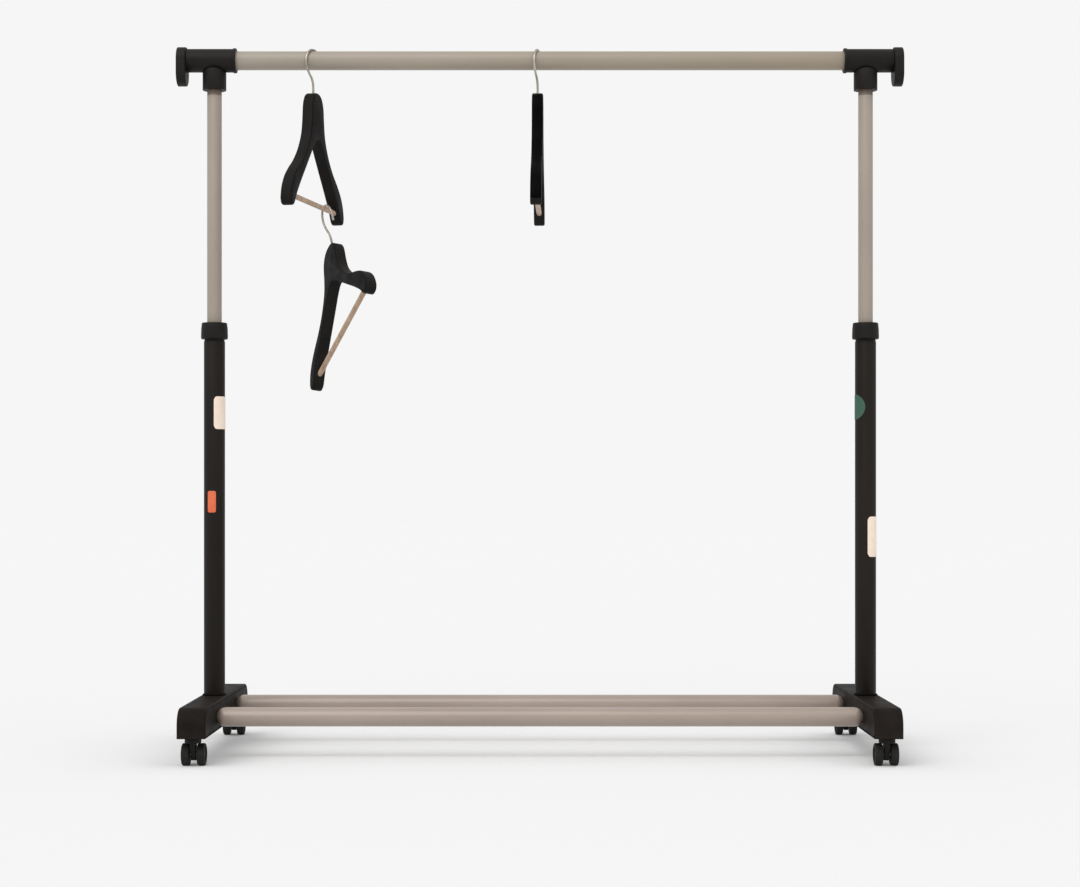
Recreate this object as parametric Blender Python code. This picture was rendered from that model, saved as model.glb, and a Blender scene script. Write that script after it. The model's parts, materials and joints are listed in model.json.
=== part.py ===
# Rolling garment rack with three coat hangers: a telescopic rail on two uprights, two moulded feet
# with twin-wheel casters, and two low cross rails. Metres, +Z up, +X along the rail, -Y is the front.
import bpy
import bmesh
from math import sin, cos, pi, radians
from mathutils import Matrix, Vector, Euler

for ob in list(bpy.data.objects):
    bpy.data.objects.remove(ob, do_unlink=True)

# ---------------------------------------------------------------- overall sizes
UPRIGHT_SPAN = 1.120          # between the upright axes
RAIL_HEIGHT = 1.185           # floor to the hanging rail's axis
FOOT_LENGTH = 0.504           # front to back
CASTER_INSET = 0.024          # from a foot's end to the swivel axis
CASTER_SPACING = FOOT_LENGTH - 2 * CASTER_INSET
CROSS_RAIL_SPACING = 0.230    # between the two low rails

# ---------------------------------------------------------------- tubes and walls
HANG_RAIL_D = 0.032
CROSS_RAIL_D = 0.032
OUTER_TUBE_D = 0.036
INNER_TUBE_D = OUTER_TUBE_D - 0.011
TUBE_WALL = 0.0012
INNER_TUBE_OVERLAP = 0.187    # how far an inner tube reaches down into its upright
END_PLUG = 0.008              # plug welded in a tube's end

# ---------------------------------------------------------------- fits
TOUCH = 0.0003                # gap between pieces that touch
SLIDE = 0.0006                # gap between pieces that slide or turn

# ---------------------------------------------------------------- feet
WHEEL_D = 0.036
FOOT_WIDTH = OUTER_TUBE_D + 0.010
FOOT_HEIGHT = 0.048
FOOT_UNDERSIDE = WHEEL_D + 0.010       # floor to the foot's lower edge
FOOT_WALL = 0.003
FOOT_SHOULDER = 0.018         # radius at the ends of the top
FOOT_EDGE = 0.004
UPRIGHT_SEAT = FOOT_UNDERSIDE + 0.018  # floor to the underside of the upright
SEAT_FLOOR = 0.005
CROSS_RAIL_HEIGHT = FOOT_UNDERSIDE + FOOT_HEIGHT / 2 - 0.002   # floor to the low rails' axis
CROSS_RAIL_DEPTH = FOOT_WIDTH - 0.010  # how far a low rail enters the foot
CROSS_RAIL_DOME = 0.014       # length of the round shoulder at a low rail's end
CROSS_RAIL_NECK_D = 0.015     # the part of a low rail that sits in the foot
BOSS_WALL = 0.003
BOLT_D = 0.008
BOLT_HEAD_D = 0.015
BOLT_HEAD = 0.005
SCREW_D = 0.005
SCREW_HEAD_D = 0.010
SCREW_HEAD = 0.0025
SCREW_LENGTH = 0.018

# ---------------------------------------------------------------- casters
WHEEL_WIDTH = 0.0125
WHEEL_SIDES = 20
WHEEL_GAP = 0.013             # between the two wheels of a caster
CASTER_WIDTH = 2 * WHEEL_WIDTH + WHEEL_GAP
WEB_WIDTH = WHEEL_GAP - 0.0055
CASTER_TRAIL = 0.010
NECK_D = 0.027
AXLE_D = 0.005
HUB_RECESS = 0.0022           # how far a wheel's hub cap lies in from its face
HUB_CAP = 0.0012
STEM_D = 0.008
STEM_REACH = FOOT_HEIGHT - 0.014   # how far the stem goes up into the foot
NECK_GAP = 0.0006

# ---------------------------------------------------------------- height lock
COLLAR_TOP = 0.734
COLLAR_HEIGHT = 0.028
COLLAR_D = OUTER_TUBE_D + 0.010
COLLAR_TAPER = 0.0015
COLLET_GRIP = 0.038           # length of the collet inside the outer tube
COLLET_FLANGE = 0.0034
COLLET_WALL = 0.0022
BUSH_HEIGHT = 0.020

# ---------------------------------------------------------------- tees and end stops
TEE_WALL = 0.004
TEE_D = HANG_RAIL_D + 2 * TEE_WALL
TEE_LENGTH = 0.085
TEE_INNER = 0.038             # from the upright axis to the tee's inner end
TEE_WEB = 0.009               # solid end behind the rail
TEE_RIM = 0.0012
TEE_RIM_WIDTH = 0.006
SOCKET_DROP = HANG_RAIL_D / 2 + 0.035   # rail axis to the lower end of the socket
STOP_THICKNESS = 0.016
STOP_RADIUS = TEE_D / 2 + 0.003
STOP_DROP = 0.021             # between the centres of the plate's round ends
SPIGOT_D = 0.014
SPIGOT_LENGTH = 0.006

# ---------------------------------------------------------------- hangers
HANGER_THICKNESS = 0.019
HANGER_EDGE = 0.0022
BAR_D = 0.009
BAR_DROP = 0.190              # neck top to the trouser bar
BAR_HALF = 0.122
HOOK_WIRE = 0.004
HOOK_RADIUS = HANG_RAIL_D / 2 + 0.004   # inside radius of the hook
HOOK_RISE = 3.5 * (HOOK_RADIUS + HOOK_WIRE / 2)   # neck top to the top of the hook
HOOK_INSERT = 0.016

# hanging places: x along the rail, body yaw, hook yaw (degrees, 90 is square to the rail)
HANGER_A = dict(x=0.170 - UPRIGHT_SPAN / 2, yaw=78.0, hook_yaw=62.0)
HANGER_C = dict(x=-0.004, yaw=88.8, hook_yaw=74.0)
# the lower hanger hangs from the bar of hanger A, askew
HANGER_B = dict(along=0.068, yaw=-66.2, tilt=-33.7, lean=-6.7, hook_yaw=-61.4, hook_lean=10.8)

UPRIGHT_X = UPRIGHT_SPAN / 2
FOOT_TOP = FOOT_UNDERSIDE + FOOT_HEIGHT
COLLAR_BASE = COLLAR_TOP - COLLAR_HEIGHT
OUTER_TUBE_TOP = COLLAR_BASE - TOUCH - COLLET_FLANGE - TOUCH
INNER_TUBE_TOP = RAIL_HEIGHT - HANG_RAIL_D / 2 - 0.004
INNER_TUBE_BASE = OUTER_TUBE_TOP - INNER_TUBE_OVERLAP
SIDES = (("left", -1), ("right", 1))
ROUND = 24


# ================================================================ materials
def material(name, colour, roughness, metallic=0.0):
    mat = bpy.data.materials.new(name)
    mat.use_nodes = True
    shader = mat.node_tree.nodes["Principled BSDF"]
    shader.inputs["Base Color"].default_value = (*[(c / 255) ** 2.2 for c in colour], 1)
    shader.inputs["Roughness"].default_value = roughness
    shader.inputs["Metallic"].default_value = metallic
    mat.diffuse_color = (*[(c / 255) ** 2.2 for c in colour], 1)
    return mat


TAUPE = ((168, 156, 142), 0.42, 0.0)
BLACK = ((38, 35, 32), 0.5, 0.0)
DARK_TUBE = ((40, 36, 33), 0.42, 0.0)
STEEL = ((150, 148, 142), 0.32, 1.0)
HANGER_BLACK = ((24, 22, 21), 0.4, 0.0)
WOOD = ((166, 141, 120), 0.5, 0.0)
WIRE = ((150, 146, 136), 0.3, 1.0)
RUBBER = ((34, 34, 32), 0.6, 0.0)
NYLON = ((60, 58, 55), 0.55, 0.0)
CREAM = ((240, 222, 205), 0.6, 0.0)
ORANGE = ((231, 115, 72), 0.6, 0.0)
GREEN = ((60, 112, 90), 0.6, 0.0)


# ================================================================ mesh helpers
def finish(name, bm, look, smooth=True, parent=None):
    """Makes an object from bm, with its own material, shaded smooth but for its sharp edges."""
    bmesh.ops.remove_doubles(bm, verts=bm.verts, dist=1e-6)
    bmesh.ops.recalc_face_normals(bm, faces=bm.faces)
    mesh = bpy.data.meshes.new(name)
    bm.to_mesh(mesh)
    bm.free()
    if smooth:
        mesh.shade_smooth()
        mesh.set_sharp_from_angle(angle=radians(32))
    mesh.materials.append(material(name, *look))
    ob = bpy.data.objects.new(name, mesh)
    bpy.context.scene.collection.objects.link(ob)
    if parent:
        ob.parent = parent
    return ob


def empty(name, location, rotation=(0, 0, 0), order="XYZ", parent=None):
    ob = bpy.data.objects.new(name, None)
    ob.empty_display_size = 0.03
    ob.rotation_mode = order
    ob.location = location
    ob.rotation_euler = rotation
    bpy.context.scene.collection.objects.link(ob)
    ob.parent = parent
    return ob


def turned(profile, sides=ROUND, phase=0.0):
    """A closed ring or solid of revolution about Z from (radius, z) points, in order round the section."""
    bm = bmesh.new()
    rings = []
    for r, z in profile:
        if r < 1e-7:
            rings.append([bm.verts.new((0, 0, z))])
        else:
            rings.append([bm.verts.new((r * cos(phase + 2 * pi * i / sides),
                                        r * sin(phase + 2 * pi * i / sides), z)) for i in range(sides)])
    for a, b in zip(rings, rings[1:] + rings[:1]):
        if len(a) == 1 and len(b) == 1:
            continue
        for i in range(sides):
            j = (i + 1) % sides
            quad = [a[i % len(a)], a[j % len(a)], b[j % len(b)], b[i % len(b)]]
            corners = []
            for v in quad:
                if v not in corners:
                    corners.append(v)
            bm.faces.new(corners)
    return bm


def lying(bm, axis="X"):
    """Turns a shape made about Z so that its axis lies along X or Y."""
    turn = Matrix.Rotation(pi / 2, 4, "Y") if axis == "X" else Matrix.Rotation(-pi / 2, 4, "X")
    bmesh.ops.transform(bm, matrix=turn, verts=bm.verts)
    return bm


def extruded(outline, depth):
    """A prism of a 2-D outline in local XZ, centred on Y."""
    bm = bmesh.new()
    face = bm.faces.new([bm.verts.new((x, -depth / 2, z)) for x, z in outline])
    grown = bmesh.ops.extrude_face_region(bm, geom=[face])
    moved = [g for g in grown["geom"] if isinstance(g, bmesh.types.BMVert)]
    bmesh.ops.translate(bm, verts=moved, vec=(0, depth, 0))
    bmesh.ops.recalc_face_normals(bm, faces=bm.faces)
    return bm


def arc(cx, cz, r, start, end, steps):
    """Points of an arc in degrees, both ends included."""
    return [(cx + r * cos(radians(start + (end - start) * i / steps)),
             cz + r * sin(radians(start + (end - start) * i / steps))) for i in range(steps + 1)]


def helper(bm, name):
    """A hidden body that a Boolean adds or cuts."""
    bmesh.ops.remove_doubles(bm, verts=bm.verts, dist=1e-6)
    bmesh.ops.recalc_face_normals(bm, faces=bm.faces)
    mesh = bpy.data.meshes.new(name)
    bm.to_mesh(mesh)
    bm.free()
    ob = bpy.data.objects.new(name, mesh)
    ob.hide_render = True
    ob.display_type = "WIRE"
    bpy.context.scene.collection.objects.link(ob)
    return ob


def boolean(ob, other, operation):
    mod = ob.modifiers.new(operation.title(), "BOOLEAN")
    mod.operation = operation
    mod.solver = "EXACT"
    mod.object = other


def moved(bm, x=0.0, y=0.0, z=0.0):
    bmesh.ops.translate(bm, verts=bm.verts, vec=(x, y, z))
    return bm


def cylinder(radius, low, high, sides=ROUND, phase=0.0):
    return turned([(0, low), (radius, low), (radius, high), (0, high)], sides, phase)


def block(x0, x1, y0, y1, z0, z1):
    bm = bmesh.new()
    bmesh.ops.create_cube(bm, size=1.0)
    for v in bm.verts:
        v.co = (x0 if v.co.x < 0 else x1, y0 if v.co.y < 0 else y1, z0 if v.co.z < 0 else z1)
    return bm


def bevel_edges(bm, width, segments, choose):
    edges = [e for e in bm.edges if choose(e)]
    bmesh.ops.bevel(bm, geom=edges, offset=width, segments=segments, profile=0.5, affect="EDGES",
                    clamp_overlap=True)
    return bm


# ================================================================ feet
def foot_outline(inset):
    """Side view of the foot in YZ: flat top, rounded shoulders, open or flat underside."""
    half = FOOT_LENGTH / 2 - inset
    top = FOOT_TOP - inset
    base = FOOT_UNDERSIDE - (0.01 if inset else 0)
    r = max(FOOT_SHOULDER - inset, 0.002)
    points = [(-half, base)]
    points += arc(-half + r, top - r, r, 180, 90, 6)
    points += arc(half - r, top - r, r, 90, 0, 6)
    points += [(half, base)]
    return points


def make_foot(side, sign):
    shell = extruded([(y, z) for y, z in foot_outline(0)], FOOT_WIDTH)
    bevel_edges(shell, FOOT_EDGE, 2, lambda e: len(e.link_faces) == 2
                and abs(e.verts[0].co.y - e.verts[1].co.y) < 1e-6
                and min(v.co.z for v in e.verts) > FOOT_UNDERSIDE + 0.001)
    turn = Matrix.Rotation(pi / 2, 4, "Z")
    bmesh.ops.transform(shell, matrix=turn, verts=shell.verts)
    foot = finish(f"foot_{side}", shell, BLACK)
    foot.location.x = sign * UPRIGHT_X

    hollow = extruded([(y, z) for y, z in foot_outline(FOOT_WALL)], FOOT_WIDTH - 2 * FOOT_WALL)
    bmesh.ops.transform(hollow, matrix=turn, verts=hollow.verts)
    inside = helper(hollow, f"hollow_{side}")
    boolean(foot, inside, "DIFFERENCE")

    roof = FOOT_TOP - FOOT_WALL / 2
    half_in = FOOT_WIDTH / 2 - FOOT_WALL / 2
    outer = OUTER_TUBE_D / 2 + TOUCH
    boss = outer + BOSS_WALL
    add = [block(-half_in, half_in, -boss, boss, UPRIGHT_SEAT - TOUCH - SEAT_FLOOR, roof)]
    for y in (-CASTER_SPACING / 2, CASTER_SPACING / 2):
        add.append(moved(cylinder(STEM_D / 2 + SLIDE + BOSS_WALL, FOOT_UNDERSIDE + 0.0002, roof, 20), y=y))
        add.append(block(-half_in, half_in, y - BOSS_WALL / 2, y + BOSS_WALL / 2,
                         FOOT_UNDERSIDE + 0.004, roof))
    socket = CROSS_RAIL_NECK_D / 2 + TOUCH
    for y in (-CROSS_RAIL_SPACING / 2, CROSS_RAIL_SPACING / 2):
        add.append(block(-half_in, half_in, y - socket - BOSS_WALL, y + socket + BOSS_WALL,
                         CROSS_RAIL_HEIGHT - socket - BOSS_WALL, roof))
    for n, bm in enumerate(add):
        piece = helper(bm, f"boss_{side}_{n}")
        piece.location.x = foot.location.x
        boolean(foot, piece, "UNION")

    cut = [cylinder(outer, UPRIGHT_SEAT - TOUCH, FOOT_TOP + 0.01),
           cylinder(BOLT_D / 2 + SLIDE, FOOT_UNDERSIDE - 0.01, FOOT_TOP, 16)]
    for y in (-CASTER_SPACING / 2, CASTER_SPACING / 2):
        cut.append(moved(cylinder(STEM_D / 2 + TOUCH, FOOT_UNDERSIDE - 0.01,
                                  FOOT_UNDERSIDE + STEM_REACH + 0.001, 16), y=y))
    for y in (-CROSS_RAIL_SPACING / 2, CROSS_RAIL_SPACING / 2):
        inner_face = -sign * FOOT_WIDTH / 2
        low, high = sorted((inner_face - sign * 0.01, inner_face + sign * (CROSS_RAIL_DEPTH + TOUCH)))
        cut.append(moved(lying(cylinder(socket, low, high)), y=y, z=CROSS_RAIL_HEIGHT))
        low, high = sorted((0.0, sign * (FOOT_WIDTH / 2 + 0.01)))
        cut.append(moved(lying(cylinder(SCREW_D / 2 + TOUCH, low, high, 12)), y=y, z=CROSS_RAIL_HEIGHT))
    for n, bm in enumerate(cut):
        piece = helper(bm, f"bore_{side}_{n}")
        piece.location.x = foot.location.x
        boolean(foot, piece, "DIFFERENCE")
    inside.location.x = foot.location.x
    return foot


def make_base():
    plug_bore = BOLT_D / 2 + TOUCH
    for side, sign in SIDES:
        make_foot(side, sign)
        # upright: tube with a plug and a threaded hole at its lower end
        r, wall = OUTER_TUBE_D / 2, TUBE_WALL
        base, top = UPRIGHT_SEAT, OUTER_TUBE_TOP
        tube = turned([(plug_bore, base), (r, base), (r, top), (r - wall, top),
                       (r - wall, base + END_PLUG), (plug_bore, base + END_PLUG)])
        finish(f"outer_tube_{side}", tube, DARK_TUBE).location.x = sign * UPRIGHT_X
        # bolt from below: head under the seat's floor
        seat = UPRIGHT_SEAT - TOUCH - SEAT_FLOOR - TOUCH
        bolt = turned([(0, seat - BOLT_HEAD), (BOLT_HEAD_D / 2, seat - BOLT_HEAD), (BOLT_HEAD_D / 2, seat),
                       (BOLT_D / 2, seat), (BOLT_D / 2, UPRIGHT_SEAT + END_PLUG + 0.004),
                       (0, UPRIGHT_SEAT + END_PLUG + 0.004)], 12)
        finish(f"upright_bolt_{side}", bolt, STEEL).location.x = sign * UPRIGHT_X

    half = UPRIGHT_X - FOOT_WIDTH / 2 + CROSS_RAIL_DEPTH
    r, wall = CROSS_RAIL_D / 2, TUBE_WALL
    hole = SCREW_D / 2 + TOUCH
    neck = CROSS_RAIL_NECK_D / 2
    face = UPRIGHT_X - FOOT_WIDTH / 2 - TOUCH
    start = sin(radians(60))      # how much of the shoulder's quarter ellipse shows before the neck
    for place, y in (("front", -CROSS_RAIL_SPACING / 2), ("back", CROSS_RAIL_SPACING / 2)):
        # round shoulders that end in a neck at the foot's face; solid as far as the screw reaches
        right = [(neck, half), (neck, face)]
        for a in range(50, 0, -10):
            right.append((r * cos(radians(a)), face - CROSS_RAIL_DOME * (start - sin(radians(a)))))
        right.append((r, face - CROSS_RAIL_DOME * start))
        solid = face - CROSS_RAIL_DOME - END_PLUG
        rail = turned([(hole, -half)] + [(w, -h) for w, h in right] + right[::-1]
                      + [(hole, half), (hole, solid), (r - wall, solid), (r - wall, -solid), (hole, -solid)])
        ob = finish(f"lower_rail_{place}", lying(rail), TAUPE)
        ob.location = (0, y, CROSS_RAIL_HEIGHT)
        for side, sign in SIDES:
            seat = FOOT_WIDTH / 2 + TOUCH
            screw = turned([(0, seat + SCREW_HEAD), (SCREW_HEAD_D / 2 - 0.0012, seat + SCREW_HEAD),
                            (SCREW_HEAD_D / 2, seat + SCREW_HEAD - 0.0012), (SCREW_HEAD_D / 2, seat),
                            (SCREW_D / 2, seat), (SCREW_D / 2, seat - SCREW_LENGTH),
                            (0, seat - SCREW_LENGTH)], 12)
            lying(screw)
            if sign < 0:
                bmesh.ops.rotate(screw, verts=screw.verts, matrix=Matrix.Rotation(pi, 3, "Z"))
            ob = finish(f"rail_screw_{place}_{side}", screw, STEEL)
            ob.location = (sign * UPRIGHT_X, y, CROSS_RAIL_HEIGHT)


# ================================================================ casters
def make_caster(corner, x, y):
    """Twin-wheel caster: stem, housing with a web between the wheels, axle, two wheels."""
    swivel = empty(f"swivel_{corner}", (x, y, 0))
    neck_top = FOOT_UNDERSIDE - NECK_GAP
    neck_base = WHEEL_D + 0.0012
    axle_z = WHEEL_D / 2
    # neck disc and, fused to it, a web that reaches back to the axle
    neck = turned([(0, neck_base), (NECK_D / 2 - 0.001, neck_base), (NECK_D / 2, neck_base + 0.001),
                   (NECK_D / 2, neck_top - 0.001), (NECK_D / 2 - 0.001, neck_top),
                   (STEM_D / 2 + TOUCH, neck_top), (STEM_D / 2 + TOUCH, neck_top - 0.0065),
                   (0, neck_top - 0.0065)], 20)
    housing = finish(f"caster_{corner}_housing", neck, BLACK, parent=swivel)
    web_r = 0.0100
    web = [(-0.0105, neck_base + 0.002), (-0.0105, neck_base - 0.006)]
    web += [(CASTER_TRAIL + a, axle_z + b) for a, b in arc(0, 0, web_r, 200, 360, 6)]
    web += [(CASTER_TRAIL + web_r - 0.002, neck_base + 0.002)]
    plate = extruded(web, WEB_WIDTH)
    bmesh.ops.transform(plate, matrix=Matrix.Rotation(pi / 2, 4, "Z"), verts=plate.verts)
    plate = helper(plate, f"web_{corner}")
    plate.parent = swivel
    boolean(housing, plate, "UNION")
    bore = helper(moved(lying(cylinder(AXLE_D / 2 + TOUCH, -0.02, 0.02, 16)), y=CASTER_TRAIL, z=axle_z),
                  f"axle_bore_{corner}")
    bore.parent = swivel
    boolean(housing, bore, "DIFFERENCE")

    top = FOOT_UNDERSIDE + STEM_REACH
    seat = neck_top - 0.0065 + TOUCH
    stem = turned([(0, seat), (STEM_D / 2, seat), (STEM_D / 2, top - 0.006), (STEM_D / 2 - 0.0008, top - 0.005),
                   (STEM_D / 2 - 0.0008, top - 0.003), (STEM_D / 2, top - 0.002),
                   (STEM_D / 2 - 0.001, top), (0, top)], 16)
    finish(f"caster_{corner}_stem", stem, STEEL, parent=swivel)

    reach = CASTER_WIDTH / 2 - HUB_RECESS - HUB_CAP - TOUCH
    axle = lying(cylinder(AXLE_D / 2, -reach, reach, 16))
    ob = finish(f"caster_{corner}_axle", axle, STEEL, parent=swivel)
    ob.location = (0, CASTER_TRAIL, axle_z)

    for side, sign in (("l", -1), ("r", 1)):
        half, r = WHEEL_WIDTH / 2, WHEEL_D / 2
        flat = r / cos(pi / WHEEL_SIDES)   # the tread's facets lie on the wheel's diameter
        bore_r, hub = AXLE_D / 2 + TOUCH, 0.68 * r
        cap = half - HUB_RECESS
        wheel = turned([(bore_r, -half), (flat - 0.0020, -half), (flat, -half + 0.0020),
                        (flat, half - 0.0026), (flat - 0.0026, half), (hub, half), (hub - 0.0010, cap),
                        (0, cap), (0, cap - HUB_CAP), (bore_r, cap - HUB_CAP)], WHEEL_SIDES, pi / WHEEL_SIDES)
        lying(wheel)
        if sign < 0:
            bmesh.ops.rotate(wheel, verts=wheel.verts, matrix=Matrix.Rotation(pi, 3, "Z"))
        ob = finish(f"caster_{corner}_wheel_{side}", wheel, RUBBER, parent=swivel)
        ob.location = (sign * (CASTER_WIDTH / 2 - half), CASTER_TRAIL, axle_z)


def make_casters():
    for side, sign in SIDES:
        for end, way in (("f", -1), ("b", 1)):
            make_caster(end + side[0], sign * UPRIGHT_X, way * CASTER_SPACING / 2)


# ================================================================ uprights' height lock
def make_locks():
    r_in = INNER_TUBE_D / 2
    bore = r_in + SLIDE
    tube_in = OUTER_TUBE_D / 2 - TUBE_WALL
    for side, sign in SIDES:
        x = sign * UPRIGHT_X
        # collet: plug in the outer tube, a thin flange on its rim, tapered fingers above
        flange_low = OUTER_TUBE_TOP + TOUCH
        flange_top = flange_low + COLLET_FLANGE
        finger = bore + COLLET_WALL
        collet = turned([(bore, OUTER_TUBE_TOP - COLLET_GRIP), (tube_in - TOUCH, OUTER_TUBE_TOP - COLLET_GRIP),
                         (tube_in - TOUCH, flange_low), (OUTER_TUBE_D / 2 - 0.0008, flange_low),
                         (OUTER_TUBE_D / 2 - 0.0008, flange_top), (finger, flange_top),
                         (finger - 0.0008, COLLAR_TOP - 0.006), (bore, COLLAR_TOP - 0.006)])
        finish(f"collet_{side}", collet, NYLON).location.x = x
        # twist ring over the collet
        r = COLLAR_D / 2
        low, top = COLLAR_BASE, COLLAR_TOP
        cavity = finger + SLIDE
        ring = turned([(cavity, low), (r - 0.0020, low), (r, low + 0.0020), (r - 0.0004, top - 0.010),
                       (r - COLLAR_TAPER, top - 0.0012), (r - COLLAR_TAPER - 0.0012, top), (bore + 0.0004, top),
                       (bore + 0.0004, top - 0.005), (cavity, top - 0.005)])
        finish(f"lock_collar_{side}", ring, BLACK).location = (x, 0, 0)
        # inner tube and the bush at its lower end
        r = r_in
        tube = turned([(r - TUBE_WALL, INNER_TUBE_BASE), (r, INNER_TUBE_BASE), (r, INNER_TUBE_TOP),
                       (r - TUBE_WALL, INNER_TUBE_TOP)])
        finish(f"inner_tube_{side}", tube, TAUPE).location.x = x
        low = INNER_TUBE_BASE - TOUCH - 0.003
        bush = turned([(r - TUBE_WALL - 0.001, low), (tube_in - SLIDE / 2, low),
                       (tube_in - SLIDE / 2, low + BUSH_HEIGHT), (r + TOUCH, low + BUSH_HEIGHT),
                       (r + TOUCH, low + 0.003), (r - TUBE_WALL - 0.001, low + 0.003)])
        finish(f"guide_bush_{side}", bush, NYLON).location.x = x


# ================================================================ hanging rail, tees, end stops
def make_top():
    rail_end = UPRIGHT_X - TEE_INNER + TEE_LENGTH - TEE_WEB - TOUCH
    r = HANG_RAIL_D / 2
    rail = turned([(r - TUBE_WALL, -rail_end), (r, -rail_end), (r, rail_end), (r - TUBE_WALL, rail_end)])
    finish("hang_rail", lying(rail), TAUPE).location.z = RAIL_HEIGHT
    for side, sign in SIDES:
        inner, outer = -TEE_INNER, TEE_LENGTH - TEE_INNER
        bore = r + TOUCH
        spigot = SPIGOT_D / 2 + TOUCH
        R = TEE_D / 2
        sleeve = turned([(bore, inner), (R + TEE_RIM - 0.001, inner), (R + TEE_RIM, inner + 0.001),
                         (R + TEE_RIM, inner + TEE_RIM_WIDTH - 0.001), (R, inner + TEE_RIM_WIDTH),
                         (R, outer), (spigot, outer), (spigot, outer - TEE_WEB), (bore, outer - TEE_WEB)])
        lying(sleeve)
        socket = cylinder(TEE_D / 2, -SOCKET_DROP, -bore - 0.0012)
        bevel_edges(socket, 0.0012, 1, lambda e: all(v.co.z < -SOCKET_DROP + 1e-5 for v in e.verts)
                    and len(e.link_faces) == 2 and all(v.co.xy.length > 0.001 for v in e.verts))
        hole = cylinder(INNER_TUBE_D / 2 + TOUCH, -SOCKET_DROP - 0.01, INNER_TUBE_TOP + TOUCH - RAIL_HEIGHT)
        if sign < 0:
            for bm in (sleeve, socket, hole):
                bmesh.ops.rotate(bm, verts=bm.verts, matrix=Matrix.Rotation(pi, 3, "Z"))
        tee = finish(f"tee_{side}", sleeve, BLACK)
        tee.location = (sign * UPRIGHT_X, 0, RAIL_HEIGHT)
        for bm, name, operation in ((socket, "socket", "UNION"), (hole, "tube_hole", "DIFFERENCE")):
            piece = helper(bm, f"{name}_{side}")
            piece.location = tee.location
            boolean(tee, piece, operation)

        # end stop: an upright plate with round ends, and a spigot that enters the tee
        plate = arc(0, 0, STOP_RADIUS, 0, 180, 10) + arc(0, -STOP_DROP, STOP_RADIUS, 180, 360, 10)
        bm = extruded(plate, STOP_THICKNESS)
        bevel_edges(bm, 0.0025, 1, lambda e: len(e.link_faces) == 2
                    and abs(abs(e.verts[0].co.y) - STOP_THICKNESS / 2) < 1e-6
                    and abs(abs(e.verts[1].co.y) - STOP_THICKNESS / 2) < 1e-6)
        bmesh.ops.rotate(bm, verts=bm.verts, matrix=Matrix.Rotation(pi / 2, 3, "Z"))
        stop = finish(f"end_stop_{side}", bm, BLACK)
        stop.location = (sign * (UPRIGHT_X + outer + TOUCH + STOP_THICKNESS / 2), 0, RAIL_HEIGHT)
        low, high = sorted((-sign * (STOP_THICKNESS / 2 + TOUCH + SPIGOT_LENGTH), 0.0))
        pin = helper(lying(cylinder(SPIGOT_D / 2, low, high, 20)), f"spigot_{side}")
        pin.location = stop.location
        boolean(stop, pin, "UNION")


# ================================================================ stickers on the uprights
STICKER = 0.0004
STICKERS = (  # name, side, look, corner radius, low, high, from and to angle (0 is front, + is right)
    ("sticker_cream_left", -1, CREAM, 0.006, 0.551, 0.607, 5, 108),
    ("sticker_orange_left", -1, ORANGE, 0.003, 0.408, 0.445, -29, 16),
    ("sticker_green_right", 1, GREEN, 0.0, 0.567, 0.611, -150, -10),
    ("sticker_cream_right", 1, CREAM, 0.006, 0.332, 0.401, 3, 108),
)


def make_stickers():
    """Thin curved plates that follow the tube: rounded rectangles, and one round one."""
    for name, sign, look, corner, low, high, a0, a1 in STICKERS:
        bm = bmesh.new()
        r0 = OUTER_TUBE_D / 2 + 0.0002
        columns = 14
        half_w, half_h = radians(a1 - a0) / 2 * r0, (high - low) / 2
        rings = []
        for i in range(columns + 1):
            u = -1 + 2 * i / columns
            if corner:
                edge = half_w - abs(u) * half_w
                cut = corner - (corner ** 2 - max(corner - edge, 0) ** 2) ** 0.5 if edge < corner else 0
                h = half_h - cut
            else:
                u = sin(u * pi / 2) * 0.999
                h = half_h * (1 - u * u) ** 0.5
            a = radians((a0 + a1) / 2) + u * half_w / r0
            mid = (low + high) / 2
            row = []
            for r in (r0, r0 + STICKER):
                for z in (mid - h, mid + h):
                    row.append(bm.verts.new((r * sin(a), -r * cos(a), z)))
            rings.append(row)
        for a, b in zip(rings, rings[1:]):
            for i, j in ((0, 1), (1, 3), (3, 2), (2, 0)):
                bm.faces.new((a[i], a[j], b[j], b[i]))
        bm.faces.new([rings[0][i] for i in (0, 2, 3, 1)])
        bm.faces.new([rings[-1][i] for i in (0, 1, 3, 2)])
        finish(name, bm, look).location.x = sign * UPRIGHT_X


# ================================================================ hangers
# half outline of the hanger's front view in metres: sideways, below the neck's top
HALF_OUTER = ((0.000, 0.000), (0.010, 0.0010), (0.019, 0.0052), (0.026, 0.0130), (0.031, 0.026),
              (0.034, 0.050), (0.041, 0.076), (0.060, 0.104), (0.084, 0.126), (0.108, 0.142),
              (0.128, 0.158), (0.141, 0.175), (0.147, 0.192), (0.147, 0.202), (0.141, 0.209),
              (0.128, 0.207))
HALF_INNER = ((0.114, 0.188), (0.092, 0.164), (0.068, 0.140), (0.042, 0.114), (0.016, 0.088),
              (0.000, 0.080))


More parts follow.
